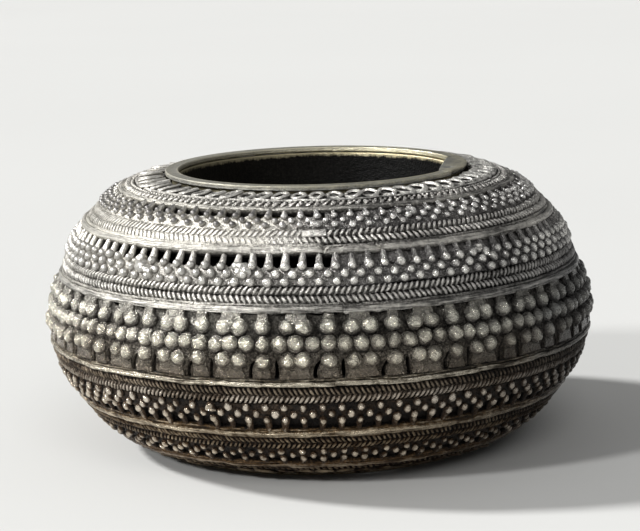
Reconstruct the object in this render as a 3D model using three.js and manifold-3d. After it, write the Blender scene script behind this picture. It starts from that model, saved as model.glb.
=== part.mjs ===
// A low brass bowl, modelled in wax threads and cast.
// Its outside is a stack of rings laid along one swelling curve from the mouth to the foot.
// Units are millimetres, +Z is up, and the bowl stands on the plane z = 0 about the origin.
// Azimuth runs round +Z from -Y, the front, towards +X, the right.

import * as THREE from 'three';
import { mergeVertices } from 'three/addons/utils/BufferGeometryUtils.js';
import Module from 'manifold-3d';

const wasm = await Module();
wasm.setup();

// Sides of each turned ring, and the clearance kept between pieces that touch
const ringSides = 36;
const seatGap = 0.3;

// Foot, collar and lining
const footRingWidth = 9.0;
const footRingThickness = 1.4;
const mouthRadius = 32.6;
const collarWidth = 3.2;
const collarThickness = 1.1;
const collarRise = 1.6;
const lugStart = THREE.MathUtils.degToRad(60);
const lugEnd = THREE.MathUtils.degToRad(104);
const lugReach = 2.6;
const lugThickness = 1.4;
const plateEdgeRound = 0.3;
const sheetThickness = 1.6;
const dishCornerRadius = 7.0;
const floorLift = 0.6;

// Driving dimensions of the curve: steps up from the foot, station by station, to the mouth
const hemRise = 1.3;
const hipRise = 3.7;
const lowerFlankRise = 8.5;
const lowerBellyRise = 12.5;
const upperBellyRise = 13.8;
const upperFlankRise = 12.2;
const shoulderRise = 8.3;
const rimSeatRise = 1.9;

// Steps out from the foot to the lower belly, and from the mouth to the upper belly
const hemReach = 5.1;
const hipReach = 5.5;
const lowerFlankReach = 7.5;
const lowerBellyReach = 5.5;
const shoulderReach = 10.0;
const upperFlankReach = 9.5;
const upperBellyReach = 5.8;

// Widths of the rings, measured along that curve
const bellyBandWidth = 14.0;
const upperBellyRidgeWidth = 2.2;
const lowerBellyRidgeWidth = 1.7;
const upperRopesWidth = 1.9;
const lowerRopesWidth = 2.1;
const shoulderBallBandWidth = 7.3;
const shoulderRidgeWidth = 2.5;
const upperBallBandWidth = 5.6;
const upperRidgeWidth = 1.6;
const upperRopeWidth = 2.6;
const flankBallBandWidth = 7.3;
const flankRidgeWidth = 2.4;
const hipBallBandWidth = 6.0;
const hipRidgeWidth = 2.3;
const lowerRopeWidth = 1.9;

// The belly band's middle above the lower belly, the strips' thickness, and what stands proud of the curve
const bellyMiddleRise = 7.2;
const stripThickness = 1.6;
const ridgeHeight = 0.8;
const ridgeEdgeHeight = 0.25;
const ropeHeight = 0.5;
const loopHeight = 0.8;
const loopEdgeHeight = 0.4;
const smallBallHeight = 0.9;

// Large balls of the belly band: rosettes of two, three and two, with single columns between
const bellyPeriods = 28;
const bellyTurn = THREE.MathUtils.degToRad(-4.9);
const largeBallRadius = 1.65;
const largeBallSeat = 0.4;
const ballRowPitch = 3.6;
const ballRowsLift = 0.6;
const slotWidth = 1.0;
const slotHeight = 4.1;
const slotOffset = 2.9;

// The foot ring reaches in as far as the dish's corner lets it
const collarRadius = mouthRadius + collarWidth;
const liningRadius = mouthRadius + sheetThickness;
const dishTop = floorLift + dishCornerRadius;
const cornerCentreRadius = liningRadius - dishCornerRadius;
const cornerDrop = dishTop - footRingThickness - seatGap;
const footRingHole = cornerCentreRadius + Math.sqrt(dishCornerRadius ** 2 - cornerDrop ** 2);
const footRingRadius = footRingHole + footRingWidth;

// Stations of the curve
const footSeatHeight = footRingThickness;
const footSeatRadius = footRingRadius + seatGap;
const hemHeight = footSeatHeight + hemRise;
const hemRadius = footSeatRadius + hemReach;
const hipHeight = hemHeight + hipRise;
const hipRadius = hemRadius + hipReach;
const lowerFlankHeight = hipHeight + lowerFlankRise;
const lowerFlankRadius = hipRadius + lowerFlankReach;
const lowerBellyHeight = lowerFlankHeight + lowerBellyRise;
const lowerBellyRadius = lowerFlankRadius + lowerBellyReach;
const upperBellyHeight = lowerBellyHeight + upperBellyRise;
const upperFlankHeight = upperBellyHeight + upperFlankRise;
const shoulderHeight = upperFlankHeight + shoulderRise;
const rimSeatHeight = shoulderHeight + rimSeatRise;
const rimSeatRadius = collarRadius + seatGap;
const shoulderRadius = rimSeatRadius + shoulderReach;
const upperFlankRadius = shoulderRadius + upperFlankReach;
const upperBellyRadius = upperFlankRadius + upperBellyReach;

// The curve that the rings lie on, as radius and height, from the mouth down
const meridian = new THREE.SplineCurve([
  new THREE.Vector2(rimSeatRadius, rimSeatHeight),
  new THREE.Vector2(shoulderRadius, shoulderHeight),
  new THREE.Vector2(upperFlankRadius, upperFlankHeight),
  new THREE.Vector2(upperBellyRadius, upperBellyHeight),
  new THREE.Vector2(lowerBellyRadius, lowerBellyHeight),
  new THREE.Vector2(lowerFlankRadius, lowerFlankHeight),
  new THREE.Vector2(hipRadius, hipHeight),
  new THREE.Vector2(hemRadius, hemHeight),
  new THREE.Vector2(footSeatRadius, footSeatHeight),
]);
const meridianLength = meridian.getLength();

const bowl = new THREE.Group();

function place(name, geometry, colour, roughness) {
  const material = new THREE.MeshStandardMaterial({ color: colour, roughness, metalness: 0.9 });
  const mesh = new THREE.Mesh(geometry, material);
  mesh.name = name;
  bowl.add(mesh);
}

// A point on the curve, moved out along its normal
function surfacePoint(along, out) {
  const share = THREE.MathUtils.clamp(along / meridianLength, 0, 1);
  const point = meridian.getPointAt(share);
  const tangent = meridian.getTangentAt(share);
  return new THREE.Vector2(point.x - tangent.y * out, point.y + tangent.x * out);
}

// How far along the curve a height lies, counted down from the mouth
function alongAtHeight(height) {
  let above = 0;
  let below = meridianLength;
  while (below - above > 0.001) {
    const middle = (above + below) / 2;
    if (surfacePoint(middle, 0).y > height) {
      above = middle;
    } else {
      below = middle;
    }
  }
  return above;
}

// A closed clockwise outline of radius and height, turned once round the bowl's axis
function turned(outline) {
  const closed = [...outline, outline[0]].reverse();
  const geometry = new THREE.LatheGeometry(closed, ringSides);
  geometry.rotateX(Math.PI / 2);
  return geometry;
}

// A ring between two places on the curve; its section lists shares of the width and heights
function ring(from, to, section) {
  const start = from + seatGap / 2;
  const width = to - from - seatGap;
  return turned(section.map(([share, out]) => surfacePoint(start + share * width, out)));
}

// Sections, from the inside of the upper edge round by the outside
const ropeSection = [[0, -stripThickness], [0.25, ropeHeight], [0.75, ropeHeight], [1, -stripThickness]];

function roundedSection(edgeHeight, crestHeight) {
  return [
    [0, -stripThickness],
    [0, edgeHeight],
    [0.5, crestHeight],
    [1, edgeHeight],
    [1, -stripThickness],
  ];
}
const ridgeSection = roundedSection(ridgeEdgeHeight, ridgeHeight);
const loopSection = roundedSection(loopEdgeHeight, loopHeight);

// A strip with three courses of small balls, drawn as beads; thorn-shaped tabs take the rest of its width
const rowShare = 0.24;
const tabShare = 1 - 3 * rowShare;

function ballSection(blankShare) {
  const beads = [];
  for (let row = 0; row < 3; row += 1) {
    const rowStart = blankShare + row * rowShare;
    if (row > 0) {
      beads.push([rowStart, 0]);
    }
    beads.push([rowStart + rowShare / 2, smallBallHeight]);
  }
  return [[0, -stripThickness], [0, 0], ...beads, [1, 0], [1, -stripThickness]];
}
const tabsAbove = ballSection(tabShare);
const tabsBelow = ballSection(0);

// The rings above and below the belly band, each with its width and section, in order from the belly
const greyBrass = 0x8c8474;
const warmBrass = 0x857a63;
const ropeBrass = 0x969080;
const ringsAbove = [
  ['upper_belly_ridge', upperBellyRidgeWidth, ridgeSection, greyBrass],
  ['belly_rope_b', upperRopesWidth, ropeSection, ropeBrass],
  ['belly_rope_a', upperRopesWidth, ropeSection, ropeBrass],
  ['shoulder_ball_band', shoulderBallBandWidth, tabsAbove, warmBrass],
  ['shoulder_ridge', shoulderRidgeWidth, ridgeSection, greyBrass],
  ['shoulder_rope_b', upperRopesWidth, ropeSection, ropeBrass],
  ['shoulder_rope_a', upperRopesWidth, ropeSection, ropeBrass],
  ['upper_ball_band', upperBallBandWidth, tabsAbove, warmBrass],
  ['upper_ridge', upperRidgeWidth, ridgeSection, greyBrass],
  ['upper_rope', upperRopeWidth, ropeSection, ropeBrass],
];
const ringsBelow = [
  ['lower_belly_ridge', lowerBellyRidgeWidth, ridgeSection, greyBrass],
  ['flank_rope_a', lowerRopesWidth, ropeSection, ropeBrass],
  ['flank_rope_b', lowerRopesWidth, ropeSection, ropeBrass],
  ['flank_ball_band', flankBallBandWidth, tabsBelow, warmBrass],
  ['flank_ridge', flankRidgeWidth, ridgeSection, greyBrass],
  ['hip_rope_a', lowerRopesWidth, ropeSection, ropeBrass],
  ['hip_rope_b', lowerRopesWidth, ropeSection, ropeBrass],
  ['hip_ball_band', hipBallBandWidth, tabsBelow, warmBrass],
  ['hip_ridge', hipRidgeWidth, ridgeSection, greyBrass],
  ['lower_rope', lowerRopeWidth, ropeSection, ropeBrass],
];

const bellyMiddle = alongAtHeight(lowerBellyHeight + bellyMiddleRise);
const bellyTop = bellyMiddle - bellyBandWidth / 2;
const bellyBottom = bellyMiddle + bellyBandWidth / 2;
const bellyMiddleRow = bellyMiddle - ballRowsLift;
const bellyPeriod = (2 * Math.PI) / bellyPeriods;
const ballStep = bellyPeriod / 4;
const rosetteHalf = 1.5 * ballStep;

let upperEdge = bellyTop;
for (const [name, width, section, colour] of ringsAbove) {
  place(name, ring(upperEdge - width, upperEdge, section), colour, 0.5);
  upperEdge -= width;
}

let lowerEdge = bellyBottom;
for (const [name, width, section, colour] of ringsBelow) {
  place(name, ring(lowerEdge, lowerEdge + width, section), colour, 0.5);
  lowerEdge += width;
}

// The loop bands take what is left of the curve at the mouth and at the foot
place('upper_loop_band', ring(-seatGap / 2, upperEdge, loopSection), ropeBrass, 0.45);
place('lower_loop_band', ring(lowerEdge, meridianLength + seatGap / 2, loopSection), warmBrass, 0.6);

function solidFrom(geometry) {
  const plain = geometry.clone();
  plain.deleteAttribute('normal');
  plain.deleteAttribute('uv');
  const merged = mergeVertices(plain);
  return new wasm.Manifold(new wasm.Mesh({
    numProp: 3,
    vertProperties: new Float32Array(merged.attributes.position.array),
    triVerts: new Uint32Array(merged.index.array),
  }));
}

function geometryFrom(solid) {
  const mesh = solid.getMesh();
  const geometry = new THREE.BufferGeometry();
  geometry.setAttribute('position', new THREE.BufferAttribute(mesh.vertProperties, 3));
  geometry.setIndex(new THREE.BufferAttribute(mesh.triVerts, 1));
  geometry.computeVertexNormals();
  return geometry;
}

// Moves a shape onto the wall, where its -Y axis looks out and its Z axis up the curve
function ontoWall(geometry, along, azimuth) {
  const point = surfacePoint(along, 0);
  const tangent = meridian.getTangentAt(along / meridianLength);
  const placed = geometry.clone();
  placed.rotateX(Math.atan2(-tangent.x, -tangent.y));
  placed.translate(0, -point.x, point.y);
  placed.rotateZ(azimuth);
  return solidFrom(placed);
}

// The belly band's strip is flat under each rosette and under each single column
function bellyStrip() {
  const places = [
    bellyTop + seatGap / 2,
    bellyMiddleRow - ballRowPitch / 2,
    bellyMiddleRow + ballRowPitch / 2,
    bellyBottom - seatGap / 2,
  ];
  const outline = [
    surfacePoint(places[0], -stripThickness),
    ...places.map((along) => surfacePoint(along, 0)),
    surfacePoint(places[3], -stripThickness),
  ];
  const azimuths = [];
  for (let turn = 0; turn < bellyPeriods; turn += 1) {
    const rosette = bellyTurn + turn * bellyPeriod;
    azimuths.push(rosette - rosetteHalf, rosette + rosetteHalf);
  }
  const positions = azimuths.flatMap((azimuth) => outline.flatMap((point) => [
    point.x * Math.sin(azimuth), -point.x * Math.cos(azimuth), point.y,
  ]));
  const count = outline.length;
  const triangles = [];
  for (let i = 0; i < azimuths.length; i += 1) {
    const left = i * count;
    const right = ((i + 1) % azimuths.length) * count;
    for (let j = 0; j < count; j += 1) {
      const below = (j + 1) % count;
      triangles.push(left + j, left + below, right + below, left + j, right + below, right + j);
    }
  }
  const geometry = new THREE.BufferGeometry();
  geometry.setAttribute('position', new THREE.Float32BufferAttribute(positions, 3));
  geometry.setIndex(triangles);
  return solidFrom(geometry);
}

// Belly band: a strip with its balls, slotted at its lower edge on both sides of each single column
function bellyBand() {
  const twoAndOne = [-0.5, 0.5, 2];
  const threeAndOne = [-1, 0, 1, 2];
  const rows = [
    [bellyMiddleRow - ballRowPitch, twoAndOne],
    [bellyMiddleRow, threeAndOne],
    [bellyMiddleRow + ballRowPitch, twoAndOne],
  ];
  const ballHeight = largeBallRadius + largeBallSeat;
  const ball = new THREE.ConeGeometry(largeBallRadius, ballHeight, 6);
  ball.rotateX(Math.PI);
  ball.translate(0, largeBallSeat - ballHeight / 2, 0);
  const slot = new THREE.BoxGeometry(slotWidth, 4 * stripThickness, 2 * slotHeight);
  const slotTurn = slotOffset / surfacePoint(bellyBottom, 0).x;
  let band = bellyStrip();
  for (let turn = 0; turn < bellyPeriods; turn += 1) {
    const rosette = bellyTurn + turn * bellyPeriod;
    const column = rosette + bellyPeriod / 2;
    for (const [along, places] of rows) {
      for (const share of places) {
        band = band.add(ontoWall(ball, along, rosette + share * ballStep));
      }
    }
    for (const azimuth of [column - slotTurn, column + slotTurn]) {
      band = band.subtract(ontoWall(slot, bellyBottom, azimuth));
    }
  }
  return geometryFrom(band);
}
place('belly_band', bellyBand(), 0x8f8a6c, 0.42);

// A point in plan, seen from above
function planPoint(radius, azimuth) {
  return new THREE.Vector2(radius * Math.sin(azimuth), -radius * Math.cos(azimuth));
}

function arcPoints(radius, from, to) {
  const steps = Math.max(2, Math.round((Math.abs(to - from) / (2 * Math.PI)) * ringSides));
  const points = [];
  for (let i = 0; i <= steps; i += 1) {
    points.push(planPoint(radius, from + ((to - from) * i) / steps));
  }
  return points;
}

// A flat plate with broken edges
function plate(outline, underside, thickness) {
  const geometry = new THREE.ExtrudeGeometry(new THREE.Shape(outline), {
    depth: thickness - 2 * plateEdgeRound,
    bevelEnabled: true,
    bevelThickness: plateEdgeRound,
    bevelSize: plateEdgeRound,
    bevelOffset: -plateEdgeRound,
    bevelSegments: 1,
  });
  geometry.translate(0, 0, underside + plateEdgeRound);
  return geometry;
}

// The collar is a strip bent round the mouth, open where the lug lies
const collarUnderside = rimSeatHeight + collarRise - collarThickness;
const lugClearance = seatGap / collarRadius;
const collarStart = lugEnd + lugClearance;
const collarEnd = lugStart + 2 * Math.PI - lugClearance;
const collarOutline = [
  ...arcPoints(collarRadius, collarStart, collarEnd),
  ...arcPoints(mouthRadius, collarEnd, collarStart),
];
place('rim_collar', plate(collarOutline, collarUnderside, collarThickness), 0x8d8b80, 0.38);

// The lug is the collar's widened end: round outside, straight towards the mouth
const lugCornerRadius = (mouthRadius - lugReach) / Math.cos((lugEnd - lugStart) / 2);
const lugOutline = [
  ...arcPoints(collarRadius, lugStart, lugEnd),
  planPoint(lugCornerRadius, lugEnd),
  planPoint(lugCornerRadius, lugStart),
];
place('rim_lug', plate(lugOutline, collarUnderside, lugThickness), 0x85827a, 0.4);

// Lining: an upright sheet tube under the collar, and a dish with an upturned edge that closes it
const wallTop = collarUnderside - seatGap;
place('inner_wall', turned([
  new THREE.Vector2(mouthRadius, dishTop + seatGap),
  new THREE.Vector2(mouthRadius, wallTop),
  new THREE.Vector2(liningRadius, wallTop),
  new THREE.Vector2(liningRadius, dishTop + seatGap),
]), 0x4f4a3c, 0.45);

function quarterCorner(radius) {
  const points = [];
  const steps = 3;
  for (let i = 0; i <= steps; i += 1) {
    const turn = (i / steps) * (Math.PI / 2);
    points.push(new THREE.Vector2(
      cornerCentreRadius + radius * Math.sin(turn),
      dishTop - radius * Math.cos(turn),
    ));
  }
  return points;
}

function dish() {
  const outline = [
    new THREE.Vector2(0, floorLift),
    ...quarterCorner(dishCornerRadius),
    ...quarterCorner(dishCornerRadius - sheetThickness).reverse(),
    new THREE.Vector2(0, floorLift + sheetThickness),
  ];
  const geometry = new THREE.LatheGeometry(outline, ringSides);
  geometry.rotateX(Math.PI / 2);
  return geometry;
}
place('floor_dish', dish(), 0x575040, 0.55);

place('foot_ring', turned([
  new THREE.Vector2(footRingHole, 0),
  new THREE.Vector2(footRingHole, footRingThickness),
  new THREE.Vector2(footRingRadius, footRingThickness),
  new THREE.Vector2(footRingRadius, 0),
]), 0x7c7566, 0.5);

export default bowl;
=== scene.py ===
# %% [markdown]
# # A brass bowl laid up in wax threads
# The real bowl is a lost-wax casting. Its maker rolled threads, ropes, strips and little balls of wax, laid
# them ring by ring on a core, and cast the whole shell in one pour of brass.
# The lesson goes from the curve of the core to the look of the brass, and then makes a piece for each ring.
# The first cell loads the fixed frame that every piece has to sit in.

# %% Load the frame
import contextlib
import functools
import math
import random

import bpy
import numpy as np
from mathutils import Matrix, Vector


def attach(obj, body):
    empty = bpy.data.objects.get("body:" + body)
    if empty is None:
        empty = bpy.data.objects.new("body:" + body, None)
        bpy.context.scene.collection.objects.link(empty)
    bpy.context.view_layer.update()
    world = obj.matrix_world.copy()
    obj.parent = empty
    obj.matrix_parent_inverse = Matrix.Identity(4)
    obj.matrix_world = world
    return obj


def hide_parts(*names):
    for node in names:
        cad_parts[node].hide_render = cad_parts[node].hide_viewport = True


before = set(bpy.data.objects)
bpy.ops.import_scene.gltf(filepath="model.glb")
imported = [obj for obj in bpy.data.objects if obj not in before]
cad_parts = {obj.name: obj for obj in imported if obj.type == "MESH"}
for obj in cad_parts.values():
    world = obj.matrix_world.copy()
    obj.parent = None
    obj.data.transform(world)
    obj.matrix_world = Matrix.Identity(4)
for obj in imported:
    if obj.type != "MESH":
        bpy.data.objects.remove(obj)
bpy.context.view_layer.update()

mm = 0.001

# %% [markdown]
# ## The camera
# The photograph was taken from a little above with a long lens, so the rings are almost flat ellipses.
# A camera could be placed by eye, but a distance, a height angle and a roll are easier to check.
# Azimuth 0 is the front, which lies towards -Y.

# %% Camera
look_height = math.radians(10.18)
look_distance = 550.8 * mm
look_roll = math.radians(1.58)
look_at = Vector((0.3, 0.0, 40.84)) * mm
film_width = 36
focal_length = 129.4

backwards = Vector((0, -math.cos(look_height), math.sin(look_height)))
camera_data = bpy.data.cameras.new("bowl_camera")
camera_data.sensor_width = film_width
camera_data.lens = focal_length
camera_data.clip_start = 10 * mm
camera = bpy.data.objects.new("bowl_camera", camera_data)
bpy.context.scene.collection.objects.link(camera)
stand = Matrix.Translation(look_at + backwards * look_distance)
facing = backwards.to_track_quat("Z", "Y").to_matrix().to_4x4()
camera.matrix_world = stand @ facing @ Matrix.Rotation(-look_roll, 4, "Z")
bpy.context.scene.camera = camera
print("camera at", [round(value, 3) for value in camera.matrix_world.translation])

# %% [markdown]
# ## Node helper
# A finish is a small graph of shader nodes. One helper adds a node, sets its options and fills or links its
# inputs, so that the graphs read from top to bottom. A mix node's colour sockets go by place.

# %% Node helper
mix_first, mix_second, mix_result = 6, 7, 2


def add_node(tree, kind, inputs=None, **options):
    node = tree.nodes.new(kind)
    for name, value in options.items():
        setattr(node, name, value)
    for name, value in (inputs or {}).items():
        if isinstance(value, bpy.types.NodeSocket):
            tree.links.new(value, node.inputs[name])
        else:
            node.inputs[name].default_value = value
    return node


def colour(red, green, blue):
    """A colour as a paint chart gives it, turned into the linear values that nodes use."""
    return [*(value / 12.92 if value < 0.04 else ((value + 0.055) / 1.055) ** 2.4
              for value in (red, green, blue)), 1.0]

# %% [markdown]
# ## Floor
# The bowl stands on a plain pale floor that fills the view. It is one wide plane with a faint grain in its
# colour. A curved backdrop would hide the horizon too, but it would throw more light on the bowl's back.

# %% Floor
floor_size = 12
grain_scale = 30.0
floor_roughness = 0.9
bpy.ops.object.select_all(action="DESELECT")
bpy.ops.mesh.primitive_plane_add(size=floor_size, location=(0, 0, 0))
floor = bpy.context.object
floor.name = "floor"
floor_finish = bpy.data.materials.new("pale_floor")
floor_finish.use_nodes = True
tree = floor_finish.node_tree
floor_shader = tree.nodes["Principled BSDF"]
grain = add_node(tree, "ShaderNodeTexNoise", {"Scale": grain_scale, "Detail": 4.0})
tint = add_node(tree, "ShaderNodeMix", {"Factor": grain.outputs["Fac"]}, data_type="RGBA")
tint.inputs[mix_first].default_value = colour(0.80, 0.80, 0.79)
tint.inputs[mix_second].default_value = colour(0.82, 0.82, 0.81)
tree.links.new(tint.outputs[mix_result], floor_shader.inputs["Base Color"])
floor_shader.inputs["Roughness"].default_value = floor_roughness
floor.data.materials.append(floor_finish)
print("floor:", floor_size, "m wide")

# %% [markdown]
# ## Light
# Sunlight in the photograph comes from the left, from behind and from above. A broad sun there makes the left
# shoulder bright and leaves the right side in shade. A weaker one from the front left, two wide soft ones and
# an even room fill the shade. An area lamp would fade with distance, so wide suns are the better softboxes.

# %% Surroundings and lamps
room_light = 0.12
world = bpy.data.worlds.new("pale_room")
bpy.context.scene.world = world
world.use_nodes = True
background = world.node_tree.nodes["Background"]
background.inputs["Color"].default_value = (1, 1, 1, 1)
background.inputs["Strength"].default_value = room_light


def sun(name, direction, strength, width):
    """A sun that shines from a direction; its width is the angle of its disc in degrees."""
    data = bpy.data.lights.new(name, "SUN")
    data.energy = strength
    data.angle = math.radians(width)
    held = bpy.data.objects.new(name, data)
    bpy.context.scene.collection.objects.link(held)
    held.matrix_world = Vector(direction).to_track_quat("Z", "Y").to_matrix().to_4x4()


sun("sun_side", (-0.76, 0.16, 0.63), 3.7, 7)
sun("front_fill", (-0.70, -0.50, 0.50), 1.7, 7)
sun("front_sky", (0.15, -0.72, 0.68), 0.5, 30)
sun("overhead", (0.25, 0.0, 1.0), 0.4, 100)
bpy.context.scene.view_settings.view_transform = "Standard"
print("lamps:", [lamp.name for lamp in bpy.data.lights])

# %% [markdown]
# ## The curve of the wall
# All rings lie on one swelling curve. Nine stations give its radius and height from the mouth to the foot. A
# smooth curve through them is measured by its own length, because the maker laid ring after ring along it. A
# shape is then placed by three numbers: how far along the curve, how far round, and how far out.

# %% Curve
stations = [(36.1, 63.6), (46.1, 61.7), (55.6, 53.4), (61.4, 41.2), (63.87, 27.4),
            (58.37, 14.9), (50.87, 6.4), (45.37, 2.7), (40.27, 1.4)]


def smooth_curve(points, steps=80):
    """A curve through all points, in so many short straight steps from each to the next."""
    padded = np.array([points[0], *points, points[-1]])
    share = np.linspace(0, 1, steps, endpoint=False)[:, None]
    curve = []
    for before, start, end, after in zip(padded, padded[1:], padded[2:], padded[3:]):
        leave = (end - before) / 2
        arrive = (after - start) / 2
        curve.append((2 * start - 2 * end + leave + arrive) * share**3
                     + (3 * end - 3 * start - 2 * leave - arrive) * share**2 + leave * share + start)
    return np.vstack([*curve, padded[-1:]])


wall = smooth_curve(stations)
wall_along = np.concatenate([[0], np.cumsum(np.hypot(*np.diff(wall, axis=0).T))])
wall_slope = np.gradient(wall, wall_along, axis=0)
wall_slope /= np.hypot(*wall_slope.T)[:, None]
print("length of the wall's curve:", round(wall_along[-1], 1), "mm")


def on_curve(along, out=0.0):
    """Radius and height in millimetres of a place on the curve, moved out square to it."""
    radius, height = (np.interp(along, wall_along, wall[:, axis]) for axis in (0, 1))
    slope_out, slope_up = (np.interp(along, wall_along, wall_slope[:, axis]) for axis in (0, 1))
    return radius - slope_up * out, height + slope_out * out


def seat(along, azimuth, out=0.0, turn=0.0, size=1.0):
    """Where a small shape goes on the wall: its X runs round, its Y up the wall and its Z out."""
    radius, height = on_curve(along, out)
    slope_out, slope_up = (float(np.interp(along, wall_along, wall_slope[:, axis])) for axis in (0, 1))
    axes = Matrix(((1, 0, 0), (0, slope_out, slope_up), (0, -slope_up, slope_out))).to_4x4()
    lean = Matrix.Translation((0, -radius * mm, height * mm)) @ axes
    return Matrix.Rotation(azimuth, 4, "Z") @ lean @ Matrix.Rotation(turn, 4, "Z") @ Matrix.Scale(size, 4)

# %% [markdown]
# ## The rings and their widths
# Ring after ring is measured out from the belly, the widest place, because that is where the photograph shows
# the widths best. The loops at the mouth and at the foot take what is left of the curve.

# %% Ring edges
belly_height = 34.6
belly_middle = float(np.interp(-belly_height, -wall[:, 1], wall_along))
belly_width = 14.0
widths_up = {"upper_belly_ridge": 2.2, "belly_rope_b": 1.9, "belly_rope_a": 1.9, "shoulder_ball_band": 7.3,
             "shoulder_ridge": 2.5, "shoulder_rope_b": 1.9, "shoulder_rope_a": 1.9, "upper_ball_band": 5.6,
             "upper_ridge": 1.6, "upper_rope": 2.6}
widths_down = {"lower_belly_ridge": 1.7, "flank_rope_a": 2.1, "flank_rope_b": 2.1, "flank_ball_band": 7.3,
               "flank_ridge": 2.4, "hip_rope_a": 2.1, "hip_rope_b": 2.1, "hip_ball_band": 6.0,
               "hip_ridge": 2.3, "lower_rope": 1.9}
belly_top = belly_middle - belly_width / 2
belly_bottom = belly_middle + belly_width / 2
ring_edges = {"belly_band": (belly_top, belly_bottom)}
edge = belly_top
for name, width in widths_up.items():
    ring_edges[name] = (edge - width, edge)
    edge -= width
ring_edges["upper_loop_band"] = (0.0, edge)
edge = belly_bottom
for name, width in widths_down.items():
    ring_edges[name] = (edge, edge + width)
    edge += width
ring_edges["lower_loop_band"] = (edge, float(wall_along[-1]))
print("rings:", {name: (round(a, 1), round(b, 1)) for name, (a, b) in ring_edges.items()})

# %% [markdown]
# ## Modelling helpers
# Two moves make almost everything here. A closed outline is spun once round the axis, as on a wheel, and a
# small shape is modelled once and laid round the wall, each copy a little different, as fingers leave it.

# %% Spinning
weld = 1e-6


def select_only(*pieces):
    bpy.ops.object.select_all(action="DESELECT")
    for piece in pieces:
        piece.select_set(True)
    bpy.context.view_layer.objects.active = pieces[0]


@contextlib.contextmanager
def editing():
    """Edit mode with the whole mesh selected, left again at the end."""
    bpy.ops.object.mode_set(mode="EDIT")
    bpy.ops.mesh.select_all(action="SELECT")
    yield
    bpy.ops.object.mode_set(mode="OBJECT")


def close_up():
    """Welds the seam of a spin and turns all faces outwards."""
    bpy.ops.mesh.select_all(action="SELECT")
    bpy.ops.mesh.remove_doubles(threshold=weld)
    bpy.ops.mesh.delete_loose()
    bpy.ops.mesh.select_all(action="SELECT")
    bpy.ops.mesh.normals_make_consistent(inside=False)


def stand_outline(outline):
    """A closed outline of (radius, height) in millimetres, upright at the front."""
    bpy.ops.mesh.primitive_circle_add(vertices=len(outline), radius=mm, fill_type="NOTHING")
    piece = bpy.context.object
    for vertex, (radius, height) in zip(piece.data.vertices, outline):
        vertex.co = (0, -radius * mm, height * mm)
    return piece


def spin_outline(outline, steps=240):
    """Turns an outline once round the axis."""
    piece = stand_outline(outline)
    with editing():
        bpy.ops.mesh.spin(steps=steps, angle=2 * math.pi, center=(0, 0, 0), axis=(0, 0, 1))
        close_up()
    return piece


def spin_part_way(outline, start, sweep, steps):
    """Turns a filled outline through a sweep from a start angle, both in degrees, and closes both ends."""
    piece = stand_outline(outline)
    piece.data.transform(Matrix.Rotation(math.radians(start), 4, "Z"))
    with editing():
        bpy.ops.mesh.edge_face_add()
        bpy.ops.mesh.spin(steps=steps, angle=math.radians(sweep), center=(0, 0, 0), axis=(0, 0, -1))
        close_up()
    return piece


def spin_ring(name, section, steps=240):
    """Spins a section of (distance from the ring's upper edge, height above the curve)."""
    start = ring_edges[name][0]
    return spin_outline([on_curve(start + down, out) for down, out in section], steps)

# %% [markdown]
# ## Laying small shapes
# A ball, a tab or a turn of a rope is modelled once. Its copies are laid on seats and joined, like wax on
# wax. Instances would be lighter, but real copies can be bent and dented.

# %% Laying
def new_ball(segments, rings, radius=1.0):
    bpy.ops.mesh.primitive_uv_sphere_add(segments=segments, ring_count=rings, radius=radius * mm)
    return bpy.context.object


def join_pieces(*pieces):
    select_only(*pieces)
    bpy.ops.object.join()
    return pieces[0]


def lay_copies(pattern, seats):
    """Copies a small shape to each seat and joins the copies; the pattern itself goes away."""
    copies = []
    for place in seats:
        copy = pattern.copy()
        copy.data = pattern.data.copy()
        bpy.context.scene.collection.objects.link(copy)
        copy.data.transform(place)
        copies.append(copy)
    bpy.data.objects.remove(pattern)
    return join_pieces(*copies)


def mark_nook(pattern, deep, shallow, underside_shade=0.0):
    """Marks how dark a small shape is, from 1 at its root, at height deep, to 0 at its crest, at shallow.

    The last argument paints shade on its lower side, so that the dark climbs higher there."""
    layer = pattern.data.attributes.new("nook_and_painted_light", "FLOAT", "POINT")
    for vertex, mark in zip(pattern.data.vertices, layer.data):
        height = (vertex.co.z + underside_shade * vertex.co.y) / mm
        mark.value = min(1.0, max(0.0, (shallow - height) / (shallow - deep)))
    return pattern


tab_edge = 0.2


def flat_tab(top, foot, length, thickness, root):
    """A flat tab, tapered towards its upper end."""
    bpy.ops.mesh.primitive_cube_add(size=mm)
    slab = bpy.context.object
    slab.data.transform(Matrix.Diagonal((foot, length, thickness, 1)))
    for vertex in slab.data.vertices:
        if vertex.co.y > 0:
            vertex.co.x *= top / foot
    with editing():
        bpy.ops.mesh.bevel(offset=tab_edge * mm, segments=2)
    return mark_nook(slab, root, thickness / 2 - 0.15)


def lump(place, width, length, height):
    """A blob of wax that ran or was pressed flat."""
    bpy.ops.mesh.primitive_ico_sphere_add(subdivisions=4, radius=mm)
    blob = bpy.context.object
    blob.data.transform(Matrix.Diagonal((width / 2, length / 2, height, 1)))
    blob.data.transform(place)
    roughen(blob, 0.45, 2)
    return blob


fingers = random.Random(28)


def uneven(amount):
    """A small push one way or the other."""
    return fingers.uniform(-amount, amount)


def seats_round(count, along, out=0.0, turn=0.0, start=0.0, loose=0.06):
    """Even seats round the wall, each pushed a little off."""
    step = 2 * math.pi / count
    radius = on_curve(along)[0]
    return [seat(along + uneven(loose), start + step * i + uneven(loose) / radius, out + uneven(loose / 2),
                 turn + uneven(loose), 1 + uneven(loose)) for i in range(count)]

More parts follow.
